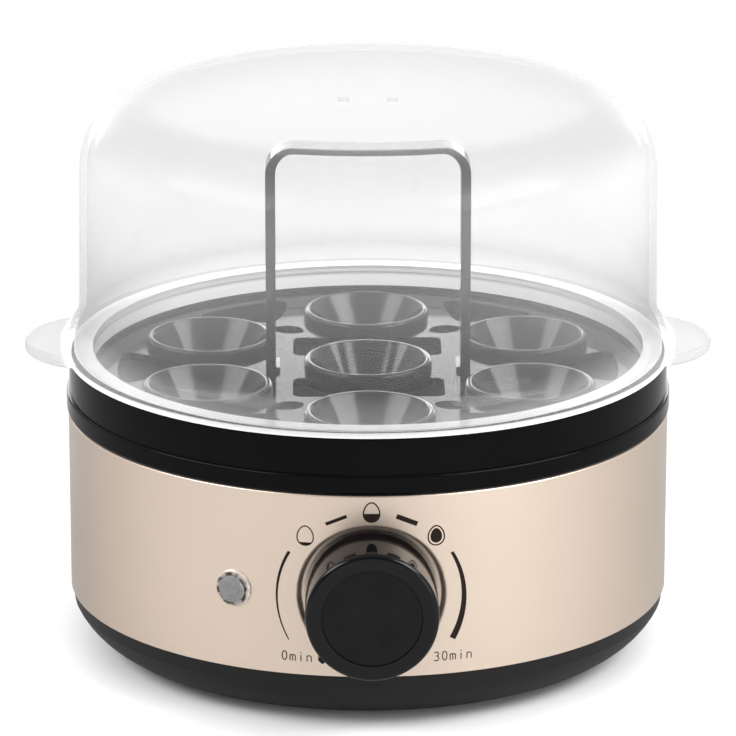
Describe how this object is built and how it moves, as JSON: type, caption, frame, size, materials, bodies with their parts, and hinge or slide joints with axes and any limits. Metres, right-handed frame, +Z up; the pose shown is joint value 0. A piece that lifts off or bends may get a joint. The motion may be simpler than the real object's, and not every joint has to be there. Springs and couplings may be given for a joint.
{
  "type": "electric egg cooker",
  "caption": "Round electric egg cooker with a metal band, a timer dial, an egg tray with an upright handle and a clear lift-off lid with side lugs.",
  "frame": {"origin": "on the vertical axis of the round base, in the plane of the foot ring that it stands on", "axes": "+X to the right seen from the front, -Y towards the front with the dial, +Z up"},
  "size_m": [0.1872, 0.1838, 0.1526],
  "materials": {
    "clear_plastic": "clear, polished inside and out",
    "black_gloss_plastic": "moulded, high gloss",
    "rose_painted_metal": "pale rose gold metallic paint, satin",
    "black_satin_plastic": "moulded, fine satin",
    "black_rubber": "matt",
    "zinc_steel": "zinc plated",
    "coated_aluminium": "dark non-stick coating",
    "silicone": "translucent white silicone",
    "element_metal": "oxidised sheath",
    "ceramic": "unglazed ceramic look",
    "tab_brass": "stamped",
    "fuse_metal": "drawn can",
    "cap_metal": "black anodised, fine turned rings",
    "grey_plastic": "moulded",
    "white_plastic": "moulded",
    "bell_chrome": "plated",
    "black_screw_steel": "blackened",
    "lens_plastic": "clear, cut in facets",
    "lamp_glass": "clear",
    "lead_silicone": "braided sleeve, pale"
  },
  "bodies": {
    "base": {"housing_collar": "black_gloss_plastic", "housing_band": "rose_painted_metal", "base_shell": "black_satin_plastic", "foot_ring": "black_rubber", "tie_screws": "zinc_steel", "cord_gland": "black_rubber", "heating_pan": "coated_aluminium", "pan_gasket": "silicone", "pan_standoffs": "zinc_steel", "heating_element": "element_metal", "element_clips": "zinc_steel", "element_insulators": "ceramic", "element_tabs": "tab_brass", "thermostat": "ceramic", "thermostat_bracket": "zinc_steel", "bracket_nuts": "zinc_steel", "thermal_fuse": "fuse_metal", "fuse_clip": "zinc_steel", "shaft_bush": "tab_brass", "timer_plate": "zinc_steel", "timer_case": "grey_plastic", "timer_contacts": "tab_brass", "timer_bell": "bell_chrome", "bell_screw": "zinc_steel", "timer_screws": "black_screw_steel", "indicator_bezel": "lens_plastic", "indicator_lens": "lens_plastic", "indicator_lamp": "lamp_glass", "lamp_retainer": "zinc_steel", "terminal_block": "white_plastic", "terminal_screws": "zinc_steel", "inner_leads": "lead_silicone"},
    "tray": {"egg_tray": "black_gloss_plastic", "egg_cups": "black_gloss_plastic", "tray_handle": "black_gloss_plastic"},
    "lid": {"lid": "clear_plastic"},
    "knob": {"timer_knob": "black_satin_plastic", "knob_cap": "cap_metal", "timer_shaft": "zinc_steel", "timer_cam": "white_plastic", "spring_barrel": "tab_brass"}
  },
  "joints": [
    {"name": "tray_lift", "type": "slide", "parent": "base", "child": "tray", "axis": [0, 0, 1], "range_m": [0, 0.03]},
    {"name": "lid_lift", "type": "slide", "parent": "tray", "child": "lid", "axis": [0, 0, 1], "range_m": [0, 0.075]},
    {"name": "timer_turn", "type": "hinge", "parent": "base", "child": "knob", "pos_m": [0, -0.09, 0.0387], "axis": [0, 1, 0], "range_deg": [0, 265]}
  ]
}
